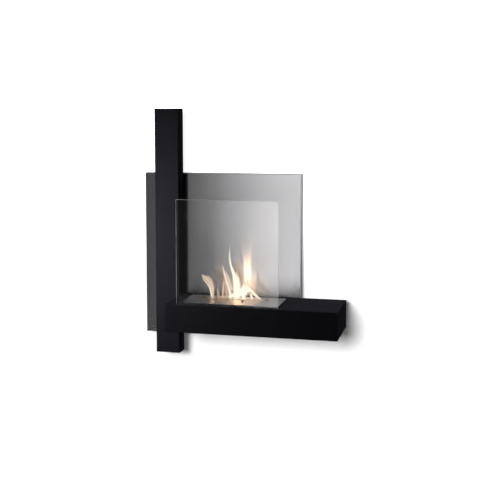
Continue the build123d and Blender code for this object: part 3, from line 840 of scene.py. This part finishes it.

# %% [markdown]
# ## The flames
# Ethanol burns with tall, soft, pointed tongues: nearly white where the gas is thick, orange and thin at
# the edges. A volume would be the first thought, but it can't leave Blender, and one glowing skin would
# have a hard edge. So the fire is a few closed skins, one inside the other, each smaller, brighter and
# less see-through than the one around it. Light adds up through them, and the edge fades by itself.
#
# Each tongue is a drawn line of points: how far along the slot, how high over the plate, how far
# in front of the slot's middle, and how thick the tongue is there. It also has a heat of its own, from a
# dim amber veil to the white core.

# %% Tongues of fire
# A tongue is its heat and its points: (along the slot, height, depth, radius), in millimetres.
tongues = {
    "leaf": (0.6, [
        (-93, -4, 0, 6.5), (-94, 24, 0, 9.5), (-97, 44, 1, 13), (-104, 60, 0, 15.5), (-116, 74, -1, 13.5),
        (-130, 85, -2, 8), (-142, 95, -2, 1),
    ]),
    "leaf_top": (0.45, [(-95, 48, -1, 9), (-97, 66, -1, 10), (-107, 80, 0, 7.5), (-120, 94, 0, 1)]),
    "curl_edge": (1.0, [
        (-98, -4, 3, 5), (-100, 20, 3, 5), (-105, 42, 3, 5), (-119, 59, 2, 4), (-132, 73, 1, 3),
        (-142, 91, 0, 1),
    ]),
    "low_left": (0.35, [(-71, -4, -2, 9.5), (-72, 21, -2, 10), (-73, 37, -1, 6), (-74, 49, 0, 1)]),
    "amber": (0.55, [(-52, -4, 3, 5.5), (-53, 26, 3, 7), (-50, 50, 2, 5), (-48, 71, 1, 3), (-48, 83, 0, 1)]),
    "amber_right": (0.45, [(-36, -4, 3, 9.5), (-37, 26, 3, 9), (-40, 51, 2, 6), (-44, 71, 1, 1.5)]),
    "lean_edge": (0.85, [
        (-20, -2, 1, 9), (-24, 35, 1, 9), (-35, 63, 1, 6.5), (-43, 89, 0, 5), (-50, 113, -1, 4),
        (-55, 137, -2, 1),
    ]),
    "lean_leaf": (0.62, [
        (-17, 35, -1, 8), (-23, 59, -1, 10), (-30, 83, -1, 8.5), (-39, 103, -1, 4.5), (-44, 115, -1, 1),
    ]),
    "tall": (1.0, [
        (1, -4, 0, 18), (1, 32, 0, 20), (0, 69, 0, 16), (-7, 99, -1, 10.5), (-17, 124, -2, 6.5),
        (-24, 154, -2, 5), (-25, 182, -2, 4), (-23, 211, -1, 1),
    ]),
    "tall_side": (0.9, [
        (13, 4, 2, 13.5), (13, 49, 3, 14.5), (9, 79, 3, 10.5), (5, 101, 3, 5.5), (4, 116, 3, 1),
    ]),
    "side_faint": (0.4, [(7, 93, 3, 6), (8, 117, 3, 8), (10, 142, 3, 6), (11, 168, 3, 1)]),
    "right": (1.0, [(32, -4, -2, 14.5), (31, 29, -2, 14), (32, 50, -1, 9), (33, 63, 0, 1.5)]),
    "shoulder": (0.9, [(48, 30, 3, 9), (50, 46, 3, 9.5), (50, 64, 2, 2)]),
    "shoulder_faint": (0.45, [(50, 50, 3, 6.5), (48, 71, 3, 5.5), (47, 92, 2, 1)]),
    "diagonal": (0.9, [(114, -4, 0, 2), (97, 6, 0, 6), (77, 23, 1, 8), (60, 40, 1, 8), (42, 56, 1, 2.5)]),
    "near_low": (0.9, [(67, -4, -3, 9), (65, 11, -3, 9), (62, 25, -2, 2.5)]),
    "far_low": (0.65, [(88, -4, 3, 7.5), (84, 6, 3, 7), (81, 13, 3, 2)]),
    "core_low": (0.95, [(-20, 10, 0, 14), (12, 22, 0, 21), (36, 24, 0, 17), (46, 26, 0, 11)]),
    "core_mid": (0.95, [(18, 34, 0, 10), (32, 44, 0, 13), (46, 42, 0, 12), (58, 34, 0, 6)]),
    "amber_low": (0.5, [(-74, 2, 0, 6), (-50, 8, 0, 8), (-24, 8, 0, 8)]),
    "slot_bed": (0.45, [
        (-122, 0, 0, 3), (-100, 1, 0, 4.5), (-60, 1, 0, 5), (0, 2, 0, 6), (60, 1, 0, 5.5), (100, 1, 0, 4.5),
        (122, 0, 0, 2.5),
    ]),
}
print("tongues", len(tongues))

# %% [markdown]
# A tongue's points steer a NURBS curve, which runs smoothly past them and carries the thickness along.
# All skins use the same curves, only thinner from the outer skin to the inner one.

# %% The tongues' middle lines
def fire_place(along, height, depth):
    """A point of a tongue, as a place in metres."""
    return slot_middle + MM * Vector((along, -depth, height))


def tongue_lines(name, share):
    """The tongues' middle lines as one curve object, for the skin that is this share of full size."""
    lines = bpy.data.curves.new(name, "CURVE")
    lines.dimensions = "3D"
    lines.resolution_u = 8
    for _, points in tongues.values():
        line = lines.splines.new("NURBS")
        line.points.add(len(points) - 1)
        for target, (along, height, depth, radius) in zip(line.points, points):
            target.co = (*fire_place(along, height, depth), 1.0)
            target.radius = radius * MM * share
        line.order_u = 3
        line.use_endpoint_u = True
    return bpy.data.objects.new(name, lines)


# %% [markdown]
# Where tongues melt into one, each spot takes its heat from the lines near it. The distance to a line is
# measured in that tongue's own radii, so a thin bright tongue stays bright beside a thick dim one. NumPy
# does this for all points of a skin at once.

# %% Heat from the nearest tongues
heat_steps = 4
heat_blur = 0.2
heat_falloff = 6.0


def heat_round(places):
    """The heat at each place: every tongue counts by how near its line is, measured in its own radii."""
    weighed = np.zeros(len(places))
    total = np.zeros(len(places))
    for heat, points in tongues.values():
        for start, end in zip(points, points[1:]):
            for share in np.linspace(0.0, 1.0, heat_steps, endpoint=False):
                along, height, depth, radius = (1 - share) * np.array(start) + share * np.array(end)
                away = np.linalg.norm(places - np.array(fire_place(along, height, depth)), axis=1)
                weight = (heat_blur + away / (radius * MM)) ** -heat_falloff
                weighed += weight * heat
                total += weight
    return weighed / total


# %% [markdown]
# Geometry Nodes put a round tube on every line. The slot is long and narrow, so the tubes are flattened
# towards its plane, and a noise shoves them a millimetre or two along it, as moving air does.

# %% Tubes round the lines
tube_sizes = {"Slot Y": slot_middle.y, "Flatness": 0.72, "Flicker": 5.0 * MM}


def tube_tree():
    """Round tubes along lines, flattened towards the slot's plane and ruffled by noise."""
    tree = bpy.data.node_groups.new("fire_tubes", "GeometryNodeTree")
    recipe = Recipe(tree)
    named_socket(tree, "Lines", "NodeSocketGeometry")
    ids = {name: named_socket(tree, name, "NodeSocketFloat", size) for name, size in tube_sizes.items()}
    named_socket(tree, "Tubes", "NodeSocketGeometry", in_out="OUTPUT")
    given = recipe.node("NodeGroupInput")
    fine = recipe.node("GeometryNodeResampleCurve", None, {
        "Curve": recipe.wire(given, "Lines"), "Count": 48,
    })
    ring = recipe.node("GeometryNodeCurvePrimitiveCircle", None, {"Resolution": 16, "Radius": 1.0})
    tube = recipe.node("GeometryNodeCurveToMesh", None, {
        "Curve": recipe.wire(fine), "Profile Curve": recipe.wire(ring),
        "Scale": recipe.wire(recipe.node("GeometryNodeInputRadius")), "Fill Caps": True,
    })
    place = recipe.wire(recipe.node("GeometryNodeInputPosition"))
    split = recipe.node("ShaderNodeSeparateXYZ", None, {0: place})
    across = recipe.wire(split, "Y") - recipe.wire(given, "Slot Y")
    squeeze = across * (recipe.wire(given, "Flatness") - 1.0)
    ruffle = recipe.node("ShaderNodeTexNoise", None, {
        "Vector": place, "Scale": 34.0, "Detail": 2.0, "Roughness": 0.5,
    })
    sway = recipe.wire(ruffle) - 0.5
    shove = recipe.wire(recipe.node("ShaderNodeCombineXYZ", None, {
        0: sway * recipe.wire(given, "Flicker"), 1: squeeze,
    }))
    moved = recipe.node("GeometryNodeSetPosition", None, {0: recipe.wire(tube), "Offset": shove})
    real = recipe.node("GeometryNodeRealizeInstances", None, {0: recipe.wire(moved)})
    recipe.node("NodeGroupOutput", None, {0: recipe.wire(real)})
    return tree, ids


# %% [markdown]
# A voxel remesh melts a skin's tubes into one closed body, smoothing rounds it, and Decimate halves its
# faces, which such a soft shape doesn't miss. Inner skins are thin and get finer voxels. Each point keeps
# two numbers for the glow: how deep in the nest its skin is, and the heat there.

# %% Eight skins, one inside the other
skins = 8
outer_share, inner_share = 1.25, 0.2
fire_voxel = 2.0 * MM
voxel_shrink = 0.5
rounding, rounds = 0.6, 4
kept_faces = 0.5


def fire_skin(name, depth, tree, ids):
    """One closed skin of the fire; depth is 0 for the outermost and 1 for the innermost."""
    lines = tongue_lines(name, outer_share + (inner_share - outer_share) * depth)
    scene.collection.objects.link(lines)
    run_tree(lines, "tubes", tree, ids, tube_sizes)
    tubes = bpy.data.objects.new(name, evaluated_mesh(lines, name))
    scene.collection.objects.link(tubes)
    melt = tubes.modifiers.new("melt", "REMESH")
    melt.mode = "VOXEL"
    melt.voxel_size = fire_voxel * (1.0 - voxel_shrink * depth)
    smooth = tubes.modifiers.new("smooth", "SMOOTH")
    smooth.factor = rounding
    smooth.iterations = rounds
    thin = tubes.modifiers.new("thin", "DECIMATE")
    thin.ratio = kept_faces
    melted = evaluated_mesh(tubes, name)
    bpy.data.objects.remove(tubes)
    bpy.data.objects.remove(lines)
    return melted


tree, ids = tube_tree()
fire = bmesh.new()
for layer in ("depth", "warmth"):
    fire.verts.layers.float.new(layer)
depth_layer = fire.verts.layers.float["depth"]
heat_layer = fire.verts.layers.float["warmth"]
for skin in range(skins):
    depth = skin / (skins - 1)
    melted = fire_skin(f"fire_skin_{skin}", depth, tree, ids)
    heats = heat_round(np.array([vert.co for vert in melted.vertices]))
    first = len(fire.verts)
    fire.from_mesh(melted)
    fire.verts.ensure_lookup_table()
    for vert, heat in zip(fire.verts[first:], heats):
        vert[depth_layer] = depth
        vert[heat_layer] = heat
    print("fire skin", skin, len(melted.polygons), "faces")
fire_mesh = bpy.data.meshes.new("flames")
fire.to_mesh(fire_mesh)
fire.free()
for face in fire_mesh.polygons:
    face.use_smooth = True
print("flames", len(fire_mesh.polygons), "faces")

# %% [markdown]
# ## The flames' glow
# Each skin glows by its place in the nest and by its tongue's heat: amber outside and in the thin veils,
# cream further in, and nearly white in the core, where the most skins add up. It is thinner towards a
# tongue's tip, and nearly clear where the gas leaves the slot.
#
# A real flame is far brighter than white can be in a picture, so its image in the brushed steel, which
# the brush lines draw out into a streak, is still bright and warm. These skins are only a little brighter
# than white. So what a mirror sees of the core gets a larger share of the light, and a warmer tone.

# %% Flame colours
thin_amber, deep_amber = (1.0, 0.66, 0.46, 1.0), (1.0, 0.76, 0.58, 1.0)
thin_cream, deep_cream = (1.0, 0.74, 0.50, 1.0), (1.0, 0.90, 0.72, 1.0)
dark = (0.0, 0.0, 0.0, 1.0)

fire_finish = Finish("flame_glow")
nest = fire_finish.wire(fire_finish.node("ShaderNodeAttribute", {"attribute_name": "depth"}), "Fac")
hot = fire_finish.wire(fire_finish.node("ShaderNodeAttribute", {"attribute_name": "warmth"}), "Fac")
amber_tone = fire_finish.colour(nest, thin_amber, deep_amber)
cream_tone = fire_finish.colour(nest.ramp(0.0, 0.7), thin_cream, deep_cream)
glow_tone = fire_finish.colour(hot.ramp(0.4, 0.9), amber_tone, cream_tone)

# %% What a mirror sees of the flames
core_along = 12.0 * MM
core_half, core_gone = 16.0 * MM, 30.0 * MM
core_height, core_top = 120.0 * MM, 190.0 * MM
low_end, high_start = 25.0 * MM, 120.0 * MM
camera_share = 0.25
mirror_low, mirror_high = 0.18, 1.30
mirror_tone, mirror_tint = (1.0, 0.60, 0.32, 1.0), 0.6

along = fire_finish.x - slot_middle.x
above = fire_finish.z - slot_middle.z
off_core = abs(along - core_along).ramp(core_half, core_gone)
over_core = (1.0 - off_core) * (1.0 - above.ramp(core_height, core_top))
through_glass = fire_finish.light_path("Is Transmission Ray")
mirrored = fire_finish.light_path("Is Glossy Ray") * (1.0 - through_glass)
in_mirror = mirror_low + (mirror_high - mirror_low) * above.ramp(low_end, high_start)
shown = camera_share + in_mirror * over_core * mirrored
glow_tone = fire_finish.colour(mirrored * mirror_tint, glow_tone, mirror_tone)

# %% [markdown]
# An exported model keeps the strength of a glow as one number and lets only its colour vary, so the
# brightness is mixed into the colour, as a share of black. The skins aren't sampled as lamps: so many
# small glowing faces would leave grain, and the rays that the steel mirrors find them anyway.

# %% Flame finish
flame_height = 200.0 * MM
glow_strength = 6.0
outer_glow = 0.45
veil_outside, veil_deeper = 0.02, 0.42
tip_loss = 0.45
root_start, root_full = 0.35, 0.08
wisp_low, wisp_spread = 0.6, 0.8

rise = above / flame_height
wisps = fire_finish.noise(60.0, 3.0, 0.55, (1.0, 1.0, 0.30))
brightness = hot * shown * (outer_glow + (1.0 - outer_glow) * nest.ramp(0.0, 0.5))
veil = veil_outside + veil_deeper * nest ** 2.0
tip_fade = 1.0 - tip_loss * rise.ramp(0.5, 1.1)
root_fade = root_start + (1.0 - root_start) * rise.ramp(0.0, root_full)
flame_material = fire_finish.done(fire_finish.skin(
    Base_Color=dark,
    Roughness=1.0,
    Specular_IOR_Level=0.0,
    Emission_Color=fire_finish.colour(brightness, dark, glow_tone),
    Emission_Strength=glow_strength,
    Alpha=(veil * tip_fade * root_fade * (wisp_low + wisp_spread * wisps)).clamped(),
))
flame_material.cycles.emission_sampling = "NONE"
flames = new_piece("flames", fire_mesh, "burner", flame_material)
flames.visible_shadow = False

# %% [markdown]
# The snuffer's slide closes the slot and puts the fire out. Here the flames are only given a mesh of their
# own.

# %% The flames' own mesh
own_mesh(flames)
